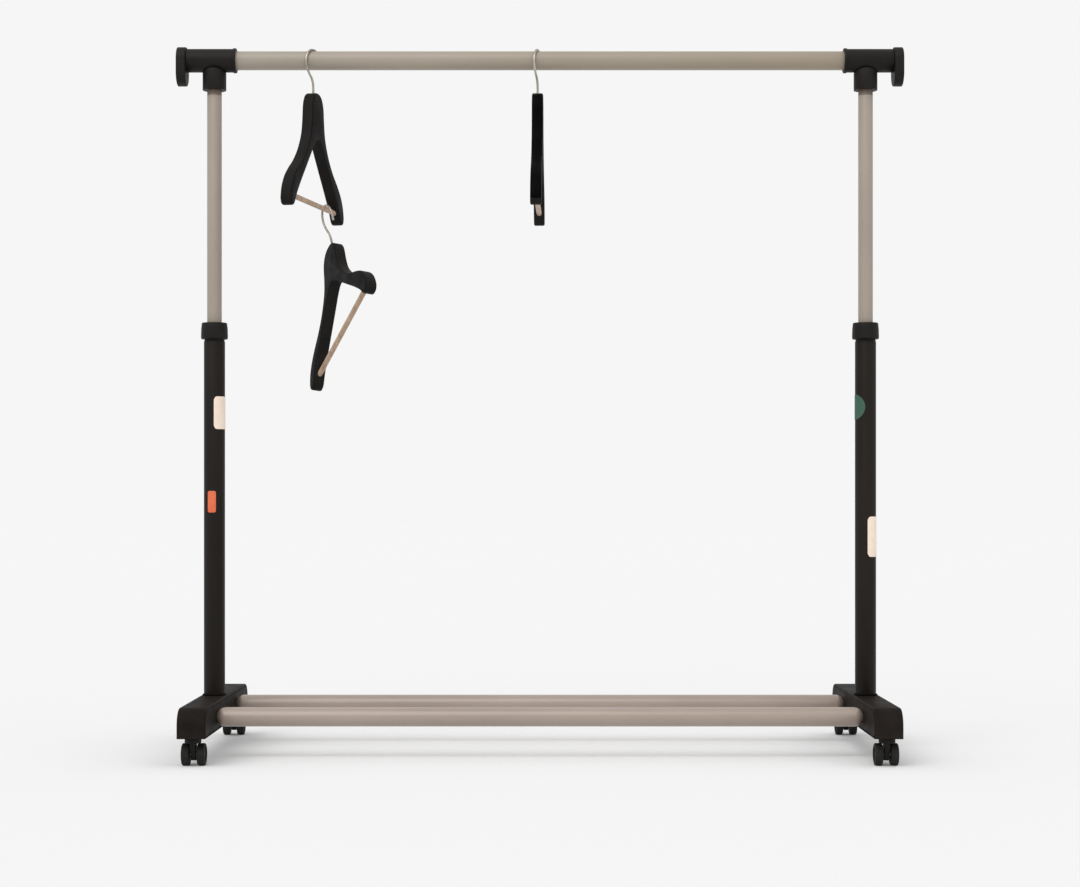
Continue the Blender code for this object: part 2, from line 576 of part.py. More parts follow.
def hanger_body(name, place):
    right = [(u, -v) for u, v in HALF_OUTER + HALF_INNER]
    left = [(-u, z) for u, z in reversed(right[1:-1])]
    bm = extruded(right + left, HANGER_THICKNESS)
    bevel_edges(bm, HANGER_EDGE, 1, lambda e: len(e.link_faces) == 2
                and abs(abs(e.verts[0].co.y) - HANGER_THICKNESS / 2) < 1e-6
                and abs(e.verts[0].co.y - e.verts[1].co.y) < 1e-6)
    body = finish(f"hanger_{name}_body", bm, HANGER_BLACK, parent=place)
    bore = helper(cylinder(HOOK_WIRE / 2 + TOUCH, -HOOK_INSERT - TOUCH, 0.01, 12), f"hook_bore_{name}")
    slot = helper(lying(cylinder(BAR_D / 2 + TOUCH, -BAR_HALF - TOUCH, BAR_HALF + TOUCH, 16)), f"bar_bore_{name}")
    slot.location.z = -BAR_DROP
    for piece in (bore, slot):
        piece.parent = place
        boolean(body, piece, "DIFFERENCE")
    bar = finish(f"hanger_{name}_bar", lying(cylinder(BAR_D / 2, -BAR_HALF, BAR_HALF, 16)), WOOD, parent=place)
    bar.location.z = -BAR_DROP


def hook_curve():
    """The hook's centre line in its own plane, top at the origin, +x towards the tip, from the tip down."""
    r = HOOK_RADIUS + HOOK_WIRE / 2
    points = [(r + 0.001, -r - 0.011), (r + 0.0004, -r - 0.005)]
    points += [(r * cos(radians(a)), -r + r * sin(radians(a))) for a in range(0, 196, 15)]
    # the S-bend that brings the wire under the middle
    points += [(-0.841 * r, -1.568 * r), (-0.545 * r, -1.932 * r), (-0.227 * r, -2.250 * r),
               (-0.055 * r, -2.614 * r), (0.0, -3.023 * r)]
    return points


def smooth_path(points, step):
    """Even points along a Catmull-Rom curve through the given ones."""
    dense = []
    for i in range(len(points) - 1):
        p0, p1 = points[max(i - 1, 0)], points[i]
        p2, p3 = points[i + 1], points[min(i + 2, len(points) - 1)]
        for k in range(12):
            t = k / 12
            dense.append(0.5 * (2 * p1 + (p2 - p0) * t + (2 * p0 - 5 * p1 + 4 * p2 - p3) * t ** 2
                                + (3 * p1 - p0 - 3 * p2 + p3) * t ** 3))
    dense.append(points[-1])
    length = sum((b - a).length for a, b in zip(dense, dense[1:]))
    count = max(2, round(length / step))
    even, walked, target = [dense[0]], 0.0, length / count
    for a, b in zip(dense, dense[1:]):
        piece = (b - a).length
        while piece and walked + piece >= target * len(even) - 1e-9 and len(even) < count:
            even.append(a.lerp(b, (target * len(even) - walked) / piece))
        walked += piece
    even.append(dense[-1])
    return even


def wire(name, points, look, radius, parent=None):
    curve = bpy.data.curves.new(name, "CURVE")
    curve.dimensions = "3D"
    curve.bevel_depth = radius
    curve.bevel_resolution = 2
    curve.use_fill_caps = True
    spline = curve.splines.new("POLY")
    spline.points.add(len(points) - 1)
    for p, co in zip(spline.points, points):
        p.co = (*co, 1)
    curve.materials.append(material(name, *look))
    ob = bpy.data.objects.new(name, curve)
    bpy.context.scene.collection.objects.link(ob)
    ob.parent = parent
    return ob


def make_hook(name, top, hook_turn, neck, up):
    """A hook whose top is at top, turned by hook_turn; its wire ends in the neck along the body's up axis."""
    points = [top + hook_turn @ Vector((x, 0, z)) for x, z in hook_curve()]
    points += [neck + up * 0.0045, neck, neck - up * HOOK_INSERT / 2, neck - up * (HOOK_INSERT - TOUCH)]
    return wire(f"hanger_{name}_hook", smooth_path(points, 0.0062), WIRE, HOOK_WIRE / 2)


def make_hangers():
    up = Vector((0, 0, 1))
    for name, spec in (("a", HANGER_A), ("c", HANGER_C)):
        top = Vector((spec["x"], 0, RAIL_HEIGHT + HANG_RAIL_D / 2 + TOUCH + HOOK_WIRE / 2))
        neck = top - up * (HOOK_RISE - HOOK_WIRE / 2)
        place = empty(f"neck_{name}", neck, (0, 0, radians(spec["yaw"])))
        hanger_body(name, place)
        make_hook(name, top, Matrix.Rotation(radians(spec["hook_yaw"]), 3, "Z"), neck, up)
        if name == "a":
            yaw = radians(spec["yaw"])
            bar = Vector((cos(yaw), sin(yaw), 0)) * HANGER_B["along"] + neck - up * BAR_DROP
    spec = HANGER_B
    top = bar + up * (BAR_D / 2 + TOUCH + HOOK_WIRE / 2)
    hook_turn = Euler((radians(spec["hook_lean"]), 0, radians(spec["hook_yaw"])), "YXZ").to_matrix()
    neck = top - hook_turn @ up * (HOOK_RISE - HOOK_WIRE / 2)
    angles = Euler((radians(spec["lean"]), radians(spec["tilt"]), radians(spec["yaw"])), "YXZ")
    place = empty("neck_b", neck, angles, "YXZ")
    hanger_body("b", place)
    make_hook("b", top, hook_turn, neck, angles.to_matrix() @ up)


make_base()
make_casters()
make_locks()
make_top()
make_stickers()
make_hangers()
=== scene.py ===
# Rolling garment rack with three coat hangers: the looks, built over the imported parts.
# Metres, +Z up, +X along the rail, -Y is the front.
import bpy
import json
from math import acos, cos, pi, radians, sin
from mathutils import Euler, Matrix, Vector


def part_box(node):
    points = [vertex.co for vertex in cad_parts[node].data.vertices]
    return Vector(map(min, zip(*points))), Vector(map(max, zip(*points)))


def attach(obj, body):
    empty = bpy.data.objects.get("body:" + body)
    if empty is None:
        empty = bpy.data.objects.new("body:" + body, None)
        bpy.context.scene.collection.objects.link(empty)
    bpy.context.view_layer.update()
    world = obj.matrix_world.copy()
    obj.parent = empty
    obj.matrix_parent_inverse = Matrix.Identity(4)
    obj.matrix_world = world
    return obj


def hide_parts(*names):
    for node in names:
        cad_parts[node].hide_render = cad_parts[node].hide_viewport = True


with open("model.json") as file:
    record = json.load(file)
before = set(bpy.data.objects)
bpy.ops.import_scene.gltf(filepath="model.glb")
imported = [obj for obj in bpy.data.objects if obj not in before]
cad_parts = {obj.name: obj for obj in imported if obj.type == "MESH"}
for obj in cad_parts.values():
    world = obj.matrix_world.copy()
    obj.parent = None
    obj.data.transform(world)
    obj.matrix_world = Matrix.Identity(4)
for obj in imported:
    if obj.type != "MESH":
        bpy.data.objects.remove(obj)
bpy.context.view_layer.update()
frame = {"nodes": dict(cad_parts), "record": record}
nodes = frame["nodes"]
bodies = frame["record"]["behaviour"]["bodies"]
bodyOfNode = {node: body for body, members in bodies.items() for node in members}
scene = bpy.context.scene
sides = (("left", -1), ("right", 1))
corners = (("fl", -1, -1), ("fr", 1, -1), ("bl", -1, 1), ("br", 1, 1))


# small tools

def clearSelection():
    bpy.ops.object.select_all(action="DESELECT")
    bpy.context.view_layer.objects.active = None


def takeUp(piece):
    clearSelection()
    piece.select_set(True)
    bpy.context.view_layer.objects.active = piece


def settle(piece):
    # puts the piece's place and turn into its mesh
    takeUp(piece)
    bpy.ops.object.transform_apply(location=True, rotation=True, scale=True)


def named(name):
    piece = bpy.context.object
    piece.name = piece.data.name = name
    return piece


def modify(piece, kind, **settings):
    takeUp(piece)
    modifier = piece.modifiers.new(kind.lower(), kind)
    for key, value in settings.items():
        setattr(modifier, key, value)
    bpy.ops.object.modifier_apply(modifier=modifier.name)
    return piece


def softenEdges(piece, width, segments=2, angle=35):
    return modify(piece, "BEVEL", width=width, segments=segments, limit_method="ANGLE",
                  angle_limit=radians(angle), use_clamp_overlap=True)


def combine(piece, other, operation):
    # joins, cuts or trims the piece by another one, which is used up
    modify(piece, "BOOLEAN", object=other, operation=operation, solver="EXACT")
    bpy.data.objects.remove(other, do_unlink=True)
    return piece


def faceOutwards(piece):
    takeUp(piece)
    bpy.ops.object.mode_set(mode="EDIT")
    bpy.ops.mesh.select_all(action="SELECT")
    bpy.ops.mesh.remove_doubles(threshold=1e-6)
    bpy.ops.mesh.normals_make_consistent(inside=False)
    bpy.ops.object.mode_set(mode="OBJECT")
    return piece


def ringStack(name, centre, along, rings, count=64, solid=False):
    # a circle that is extruded and scaled from ring to ring; rings are (radius, reach along the axis)
    centre, along = Vector(centre), Vector(along).normalized()
    radius, reach = rings[0]
    clearSelection()
    pickMode("points")
    turn = along.to_track_quat("Z", "Y")
    bpy.ops.mesh.primitive_circle_add(vertices=count, radius=radius, fill_type="NGON" if solid else "NOTHING",
                                      location=centre + along * reach, rotation=turn.to_euler())
    piece = named(name)
    bpy.ops.object.transform_apply(location=True, rotation=True, scale=True)
    bpy.ops.object.mode_set(mode="EDIT")
    bpy.ops.mesh.select_all(action="SELECT")
    for (r0, h0), (r1, h1) in zip(rings, rings[1:]):
        bpy.ops.mesh.extrude_region_move(TRANSFORM_OT_translate={"value": along * (h1 - h0)})
        if abs(r1 - r0) > 1e-9:
            bpy.ops.transform.resize(value=(r1 / r0,) * 3, center_override=centre + along * h1)
    bpy.ops.object.mode_set(mode="OBJECT")
    return faceOutwards(piece)


def tubeRings(outer, wall, low, high):
    inner = outer - wall
    return [(inner, low), (outer, low), (outer, high), (inner, high), (inner, low)]


def box(name, low, high):
    clearSelection()
    low, high = Vector(low), Vector(high)
    bpy.ops.mesh.primitive_cube_add(size=1, location=(low + high) / 2)
    piece = named(name)
    piece.scale = high - low
    settle(piece)
    return piece


def pickMode(kind):
    scene.tool_settings.mesh_select_mode = [kind == word for word in ("points", "edges", "faces")]


def selectNothing(piece):
    for part in (piece.data.vertices, piece.data.edges, piece.data.polygons):
        part.foreach_set("select", [False] * len(part))


def selectFaces(piece, choose):
    # leaves only the chosen faces selected, for edit mode
    takeUp(piece)
    pickMode("faces")
    selectNothing(piece)
    for face in piece.data.polygons:
        face.select = choose(face)


def selectEdges(piece, choose):
    takeUp(piece)
    pickMode("edges")
    selectNothing(piece)
    points = [v.co for v in piece.data.vertices]
    for edge in piece.data.edges:
        edge.select = choose(points[edge.vertices[0]], points[edge.vertices[1]])


def copied(piece, name, shift):
    takeUp(piece)
    bpy.ops.object.duplicate()
    twin = named(name)
    twin.location = shift
    settle(twin)
    return twin


def dress(piece, surface, node, smooth=40):
    # gives the piece its finish and lets it stand for a CAD node, on that node's body
    takeUp(piece)
    bpy.ops.object.shade_smooth_by_angle(angle=radians(smooth))
    if piece.data.materials:
        piece.data.materials[0] = surface
    else:
        piece.data.materials.append(surface)
    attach(piece, bodyOfNode[node])
    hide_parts(node)
    return piece


def repaint(node, surface):
    nodes[node].data.materials.clear()
    nodes[node].data.materials.append(surface)


# finishes

def freshSurface(name):
    surface = bpy.data.materials.new(name)
    surface.use_nodes = True
    tree = surface.node_tree
    return surface, tree.nodes, tree.links, tree.nodes["Principled BSDF"]


def objectPlace(tree, links, stretch=(1, 1, 1), turn=(0, 0, 0)):
    # object coordinates, turned and stretched
    place = tree.new("ShaderNodeTexCoord")
    mapping = tree.new("ShaderNodeMapping")
    mapping.vector_type = "POINT"
    mapping.inputs["Rotation"].default_value = turn
    mapping.inputs["Scale"].default_value = stretch
    links.new(place.outputs["Object"], mapping.inputs["Vector"])
    return mapping.outputs["Vector"]


def noise(tree, links, vector, scale, detail=3.0, rough=0.5):
    texture = tree.new("ShaderNodeTexNoise")
    texture.inputs["Scale"].default_value = scale
    texture.inputs["Detail"].default_value = detail
    texture.inputs["Roughness"].default_value = rough
    links.new(vector, texture.inputs["Vector"])
    return texture.outputs["Fac"]


def ramp(tree, links, value, stops):
    colours = tree.new("ShaderNodeValToRGB")
    band = colours.color_ramp
    while len(band.elements) < len(stops):
        band.elements.new(0.5)
    for element, (place, colour) in zip(band.elements, stops):
        element.position = place
        element.color = (*colour, 1)
    links.new(value, colours.inputs["Fac"])
    return colours.outputs["Color"]


def spread(tree, links, value, low, high, fromLow=0.3, fromHigh=0.7):
    scale = tree.new("ShaderNodeMapRange")
    for key, number in (("From Min", fromLow), ("From Max", fromHigh), ("To Min", low), ("To Max", high)):
        scale.inputs[key].default_value = number
    links.new(value, scale.inputs["Value"])
    return scale.outputs["Result"]


def mixed(tree, links, amount, first, second, blend="MIX"):
    mixer = tree.new("ShaderNodeMix")
    mixer.data_type = "RGBA"
    mixer.blend_type = blend
    for socket, value in ((mixer.inputs[0], amount), (mixer.inputs[6], first), (mixer.inputs[7], second)):
        if isinstance(value, bpy.types.NodeSocket):
            links.new(value, socket)
        elif isinstance(value, tuple):
            socket.default_value = (*value, 1)
        else:
            socket.default_value = value
    return mixer.outputs[2]


def relief(tree, links, height, strength, distance, under=None):
    bump = tree.new("ShaderNodeBump")
    bump.inputs["Strength"].default_value = strength
    bump.inputs["Distance"].default_value = distance
    links.new(height, bump.inputs["Height"])
    if under:
        links.new(under, bump.inputs["Normal"])
    return bump.outputs["Normal"]


def shade(*rgb):
    # screen tones, 0 to 255, as linear light
    return tuple((c / 255 / 12.92) if c / 255 <= 0.04045 else ((c / 255 + 0.055) / 1.055) ** 2.4
                 for c in rgb)


def grainedSurface(name, look):
    # paint or moulded plastic: patches of tone, a fine orange-peel or spark-eroded grain, uneven gloss
    surface, tree, links, shader = freshSurface(name)
    place = objectPlace(tree, links)
    drift = objectPlace(tree, links, look.get("stretch", (1, 1, 1)))
    patches = noise(tree, links, drift, look["patchScale"], 4.0, 0.55)
    tones = ramp(tree, links, patches, ((0.30, look["dark"]), (0.52, look["tone"]), (0.74, look["light"])))
    specks = noise(tree, links, place, look["speckScale"], 2.0)
    fleck = spread(tree, links, specks, 0.0, look["speckAmount"], 0.55, 0.75)
    tones = mixed(tree, links, fleck, tones, look["speck"])
    if "along" in look:   # a change of tone along one axis: slow on the rails, and a sharp band of painted shade under the tee on the inner tubes
        change = look["along"]
        axis = "XYZ".index(change["axis"])
        split = tree.new("ShaderNodeSeparateXYZ")
        links.new(place, split.inputs[0])
        run = spread(tree, links, split.outputs[axis], 0.0, 1.0, change["start"], change["end"])
        tones = mixed(tree, links, run, tones, change["tint"], "MULTIPLY")
    links.new(tones, shader.inputs["Base Color"])
    links.new(spread(tree, links, patches, look["roughLow"], look["roughHigh"]), shader.inputs["Roughness"])
    grain = noise(tree, links, place, look["grainScale"], 2.0)
    waves = noise(tree, links, place, look["grainScale"] / 14, 2.0)
    soft = relief(tree, links, waves, look["waveStrength"], 0.0006)
    links.new(relief(tree, links, grain, look["grainStrength"], 0.0002, soft), shader.inputs["Normal"])
    shader.inputs["Metallic"].default_value = look.get("metallic", 0.0)
    shader.inputs["Specular IOR Level"].default_value = look.get("specular", 0.5)
    shader.inputs["Coat Weight"].default_value = look.get("coat", 0.0)
    shader.inputs["Coat Roughness"].default_value = look.get("coatRoughness", 0.25)
    return surface


hangRailLook = {
    "dark": shade(150, 140, 128), "tone": shade(157, 147, 135), "light": shade(164, 154, 141),
    "speck": shade(132, 121, 108), "speckAmount": 0.25, "speckScale": 900,
    "patchScale": 9, "stretch": (0.3, 1, 1), "roughLow": 0.38, "roughHigh": 0.52,
    "grainScale": 1500, "grainStrength": 0.10, "waveStrength": 0.10,
    "along": {"axis": "X", "start": -0.55, "end": 0.55, "tint": (0.876, 0.846, 0.753)},
}
lowRailLook = dict(hangRailLook, dark=shade(143, 129, 119), tone=shade(154, 139, 128),
                   light=shade(162, 147, 136),
                   roughLow=0.28, roughHigh=0.38, coat=0.35, coatRoughness=0.14,
                   along={"axis": "X", "start": -0.55, "end": 0.55, "tint": (0.96, 0.95, 0.94)})
innerTubeLook = dict(hangRailLook, dark=shade(144, 133, 122), tone=shade(152, 141, 129),
                     light=shade(159, 148, 136),
                     stretch=(1, 1, 0.3),   # the top is painted darker just under the tee: painted shade from the tee's socket
                     along={"axis": "Z", "start": 1.1240, "end": 1.1250, "tint": (0.47, 0.42, 0.40)})
uprightPaintLook = {
    "dark": shade(22, 18, 15), "tone": shade(28, 24, 20), "light": shade(34, 29, 24),
    "speck": shade(50, 46, 41), "speckAmount": 0.22, "speckScale": 1100,
    "patchScale": 12, "stretch": (1, 1, 0.25), "roughLow": 0.42, "roughHigh": 0.58,
    "grainScale": 1700, "grainStrength": 0.16, "waveStrength": 0.10, "specular": 0.14,
}
mouldingLook = {
    "dark": shade(19, 16, 15), "tone": shade(24, 21, 19), "light": shade(30, 26, 23),
    "speck": shade(46, 42, 39), "speckAmount": 0.20, "speckScale": 1500,
    "patchScale": 26, "roughLow": 0.46, "roughHigh": 0.60,
    "grainScale": 2400, "grainStrength": 0.22, "waveStrength": 0.06, "specular": 0.16,
}
footLook = dict(mouldingLook, dark=shade(27, 24, 21), tone=shade(34, 30, 27), light=shade(40, 35, 31),
                specular=0.02)
# a near-black copy of the moulding for the seam groove and the ring round the upright: painted shade
seamShadeLook = dict(mouldingLook, dark=shade(5, 4, 4), tone=shade(8, 7, 6), light=shade(12, 10, 9),
                speck=shade(18, 16, 15), specular=0.03)
nylonLook = {
    "dark": shade(16, 14, 13), "tone": shade(21, 19, 17), "light": shade(26, 24, 22),
    "speck": shade(40, 37, 34), "speckAmount": 0.15, "speckScale": 1300,
    "patchScale": 40, "roughLow": 0.48, "roughHigh": 0.62,
    "grainScale": 2000, "grainStrength": 0.15, "waveStrength": 0.05, "specular": 0.15,
}
treadLook = {
    "dark": shade(24, 24, 22), "tone": shade(31, 31, 29), "light": shade(39, 39, 36),
    "speck": shade(72, 69, 63), "speckAmount": 0.35, "speckScale": 700,
    "patchScale": 60, "roughLow": 0.58, "roughHigh": 0.78,
    "grainScale": 1800, "grainStrength": 0.20, "waveStrength": 0.08, "specular": 0.15,
}
hangerFaceLook = {
    "dark": shade(2, 2, 2), "tone": shade(4, 3, 3), "light": shade(7, 6, 6),
    "speck": shade(15, 14, 14), "speckAmount": 0.12, "speckScale": 1200,
    "patchScale": 30, "roughLow": 0.40, "roughHigh": 0.55,
    "grainScale": 1400, "grainStrength": 0.12, "waveStrength": 0.14, "specular": 0.03,
}
# the narrow sides: a rougher copy of the black hanger finish whose lighter grey tone is painted light
hangerEdgePaintedLitLook = dict(hangerFaceLook, dark=shade(22, 20, 19), tone=shade(28, 26, 24),
                      light=shade(34, 32, 30),
                      speck=shade(48, 46, 43), roughLow=0.50, roughHigh=0.66, specular=0.07)
hangRailPaint = grainedSurface("hangRailPaint", hangRailLook)
lowRailPaint = grainedSurface("lowRailPaint", lowRailLook)
innerTubePaint = grainedSurface("innerTubePaint", innerTubeLook)
uprightPaint = grainedSurface("uprightPaint", uprightPaintLook)
moulding = grainedSurface("moulding", mouldingLook)
footPlastic = grainedSurface("footPlastic", footLook)
seamPaintedShade = grainedSurface("seamPaintedShade", seamShadeLook)
nylon = grainedSurface("nylon", nylonLook)
tread = grainedSurface("tread", treadLook)
hangerFace = grainedSurface("hangerFace", hangerFaceLook)
hangerEdgePaintedLit = grainedSurface("hangerEdgePaintedLit", hangerEdgePaintedLitLook)


def drawnMetal(name, look, direction):
    # wire or turned steel, with fine lines along the given direction
    surface, tree, links, shader = freshSurface(name)
    long = Vector(direction).normalized()
    turn = long.rotation_difference(Vector((0, 0, 1))).to_euler()
    streaked = objectPlace(tree, links, (1, 1, 0.05), turn)
    place = objectPlace(tree, links)
    lines = noise(tree, links, streaked, look["lineScale"], 3.0)
    clouds = noise(tree, links, place, 45, 3.0)
    tones = ramp(tree, links, clouds, ((0.32, look["dark"]), (0.68, look["light"])))
    links.new(tones, shader.inputs["Base Color"])
    links.new(spread(tree, links, lines, look["roughLow"], look["roughHigh"]), shader.inputs["Roughness"])
    links.new(relief(tree, links, lines, 0.15, 0.0002), shader.inputs["Normal"])
    shader.inputs["Metallic"].default_value = look["metallic"]
    return surface


steelLook = {"dark": shade(120, 118, 112), "light": shade(166, 163, 156), "lineScale": 900,
             "roughLow": 0.28, "roughHigh": 0.46, "metallic": 1.0}
hookLook = {"dark": shade(150, 144, 134), "light": shade(192, 185, 174), "lineScale": 700,
            "roughLow": 0.30, "roughHigh": 0.48, "metallic": 0.85}
steel = drawnMetal("steel", steelLook, (0, 0, 1))
hookWire = drawnMetal("hookWire", hookLook, (0, 0, 1))


def barWood(name, direction, look):
    # pale turned wood; the grain runs along the bar
    surface, tree, links, shader = freshSurface(name)
    long = Vector(direction).normalized()
    turn = long.rotation_difference(Vector((0, 0, 1))).to_euler()
    place = objectPlace(tree, links, (1, 1, 0.035), turn)
    fibre = noise(tree, links, place, 420, 5.0, 0.6)
    figure = noise(tree, links, place, 110, 3.0, 0.5)
    tones = ramp(tree, links, figure, ((0.28, look["dark"]), (0.50, look["tone"]), (0.75, look["light"])))
    pores = spread(tree, links, fibre, 0.0, 0.55, 0.52, 0.72)
    links.new(mixed(tree, links, pores, tones, look["pore"]), shader.inputs["Base Color"])
    links.new(spread(tree, links, fibre, 0.42, 0.62), shader.inputs["Roughness"])
    links.new(relief(tree, links, fibre, 0.25, 0.0003), shader.inputs["Normal"])
    return surface


barLook = {"dark": shade(150, 124, 101), "tone": shade(172, 145, 121), "light": shade(190, 163, 138),
           "pore": shade(128, 98, 74)}


def labelPaper(name, tone, deep):
    # matte printed film with a faint paper fibre
    surface, tree, links, shader = freshSurface(name)
    place = objectPlace(tree, links)
    fibre = noise(tree, links, place, 800, 4.0, 0.6)
    clouds = noise(tree, links, place, 60, 2.0)
    base = ramp(tree, links, clouds, ((0.3, deep), (0.65, tone)))
    links.new(mixed(tree, links, spread(tree, links, fibre, 0.0, 0.12, 0.5, 0.7), base, deep),
              shader.inputs["Base Color"])
    links.new(spread(tree, links, fibre, 0.50, 0.66), shader.inputs["Roughness"])
    links.new(relief(tree, links, fibre, 0.12, 0.0001), shader.inputs["Normal"])
    return surface


labelCream = labelPaper("labelCream", shade(240, 221, 204), shade(232, 212, 194))
labelOrange = labelPaper("labelOrange", shade(216, 104, 62), shade(208, 95, 56))
labelGreen = labelPaper("labelGreen", shade(47, 88, 71), shade(41, 80, 65))
print("finishes ready")


# rails and tubes

rack = {"uprightX": 0.560, "railHeight": 1.185, "tubeWall": 0.0012}
tubes = {"hangRailRadius": 0.016, "outerRadius": 0.018, "innerRadius": 0.0125}
lowRail = {"radius": 0.016, "neck": 0.0075, "neckLength": 0.0363, "dome": 0.014, "screwBore": 0.0028,
           "plug": 0.012}


def longTube(node, along, radius, surface):
    # a 72-sided tube as long as the CAD node, with its rims broken
    low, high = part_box(node)
    axis = "XYZ".index(along)
    centre = (low + high) / 2
    half = (high[axis] - low[axis]) / 2
    way = [(1, 0, 0), (0, 1, 0), (0, 0, 1)][axis]
    piece = ringStack(node + "_tube", centre, way, tubeRings(radius, rack["tubeWall"], -half, half), 72)
    softenEdges(piece, 0.0004, 2)
    return dress(piece, surface, node)


def domedRail(node):
    # a tube whose ends are rounded over before a thinner neck goes into the foot
    d = lowRail
    low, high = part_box(node)
    half = (high.x - low.x) / 2
    face, start = half - d["neckLength"], acos(d["neck"] / d["radius"])
    end = [(d["neck"] - 0.0005, half), (d["neck"], half - 0.0005)]
    end += [(d["radius"] * cos(start * k / 14), face - d["dome"] * (sin(start) - sin(start * k / 14)))
            for k in range(14, -1, -1)]
    inside, bore = face - d["dome"] - d["plug"], d["radius"] - rack["tubeWall"]
    rings = [(d["screwBore"], -half)] + [(r, -h) for r, h in end] + end[::-1]
    rings += [(d["screwBore"], half), (d["screwBore"], inside), (bore, inside), (bore, -inside),
              (d["screwBore"], -inside), (d["screwBore"], -half)]
    rail = ringStack(node + "_tube", (low + high) / 2, (1, 0, 0), rings, 72)
    return dress(rail, lowRailPaint, node)


longTube("hang_rail", "X", tubes["hangRailRadius"], hangRailPaint)
domedRail("lower_rail_front")
domedRail("lower_rail_back")
for side in ("left", "right"):
    longTube("outer_tube_" + side, "Z", tubes["outerRadius"], uprightPaint)
    longTube("inner_tube_" + side, "Z", tubes["innerRadius"], innerTubePaint)
print("tubes done")


# lock collars

collar = {"radius": 0.023, "bore": 0.0133, "low": 0.706, "high": 0.734, "taper": 0.0015, "edge": 0.0012,
          "cavity": 0.0159, "lip": 0.005}


def makeCollar(side, sign):
    c = collar
    rings = [(c["cavity"], c["low"]), (c["radius"] - 0.0004, c["low"]), (c["radius"], c["low"] + 0.004),
             (c["radius"] - 0.0004, c["high"] - 0.010), (c["radius"] - c["taper"], c["high"]),
             (c["bore"], c["high"]), (c["bore"], c["high"] - c["lip"]), (c["cavity"], c["high"] - c["lip"]),
             (c["cavity"], c["low"])]
    ring = ringStack("collar_ring_" + side, (sign * rack["uprightX"], 0, 0), (0, 0, 1), rings, 72)
    softenEdges(ring, c["edge"], 3)
    return dress(ring, moulding, "lock_collar_" + side)


for side, sign in sides:
    makeCollar(side, sign)
print("collars done")


# tees that carry the hanging rail

tee = {"radius": 0.020, "inner": -0.038, "outer": 0.047, "rim": 0.0012, "rimWidth": 0.006, "bore": 0.0163,
       "web": 0.009, "spigot": 0.0073, "socketDrop": 0.051, "tubeBore": 0.0128, "tubeTop": -0.0197,
       "archTop": -0.0152, "archRadius": 0.0391, "groove": 0.0010, "grooveDepth": 0.0010, "edge": 0.0006}


def makeTee(side, sign):
    t = tee
    centre = Vector((sign * rack["uprightX"], 0, rack["railHeight"]))
    way, up = (sign, 0, 0), (0, 0, 1)
    rings = [(t["bore"], t["inner"]), (t["radius"] + t["rim"], t["inner"]),
             (t["radius"] + t["rim"], t["inner"] + t["rimWidth"] - 0.001),
             (t["radius"], t["inner"] + t["rimWidth"]), (t["radius"], t["outer"]), (t["spigot"], t["outer"]),
             (t["spigot"], t["outer"] - t["web"]), (t["bore"], t["outer"] - t["web"]), (t["bore"], t["inner"])]
    sleeve = softenEdges(ringStack("tee_sleeve_" + side, centre, way, rings), t["edge"], 2)
    # the socket ends in an arch on the sleeve, with a fine groove round it
    socket = ringStack("socket", centre, up, [(t["radius"] + 0.0002, -t["socketDrop"]),
                                              (t["radius"] + 0.0002, -0.002)], 64, True)
    archCentre = centre + Vector((0, 0, t["archTop"] - t["archRadius"]))
    arch = ringStack("arch", archCentre, (0, 1, 0), [(t["archRadius"], -0.04), (t["archRadius"], 0.04)],
                     96, True)
    combine(socket, arch, "INTERSECT")
    softenEdges(socket, 0.0005, 2, 50)
    wide = t["archRadius"] + t["groove"]
    groove = ringStack("groove", archCentre, (0, 1, 0), [(wide, -0.04), (wide, 0.04)], 96, True)
    core = ringStack("core", centre, (1, 0, 0), [(t["radius"] - t["grooveDepth"], -0.06),
                                                 (t["radius"] - t["grooveDepth"], 0.06)], 64, True)
    combine(groove, core, "DIFFERENCE")
    combine(sleeve, groove, "DIFFERENCE")
    combine(sleeve, socket, "UNION")
    hollow = ringStack("hollow", centre, up, [(t["tubeBore"], -0.07), (t["tubeBore"], t["tubeTop"])], 64, True)
    combine(sleeve, hollow, "DIFFERENCE")
    clear = ringStack("clear", centre, way, [(t["bore"], t["inner"] - 0.001),
                                             (t["bore"], t["outer"] - t["web"])], 64, True)
    combine(sleeve, clear, "DIFFERENCE")
    return dress(faceOutwards(sleeve), moulding, "tee_" + side, 32)


for side, sign in sides:
    makeTee(side, sign)
print("tees done")


# end stops

endStop = {"radius": 0.023, "drop": 0.021, "thickness": 0.016, "innerEdge": 0.0018,
           "spigot": 0.007, "reach": 0.0063, "gap": 0.0003, "panel": 0.0035, "panelDepth": 0.0006}


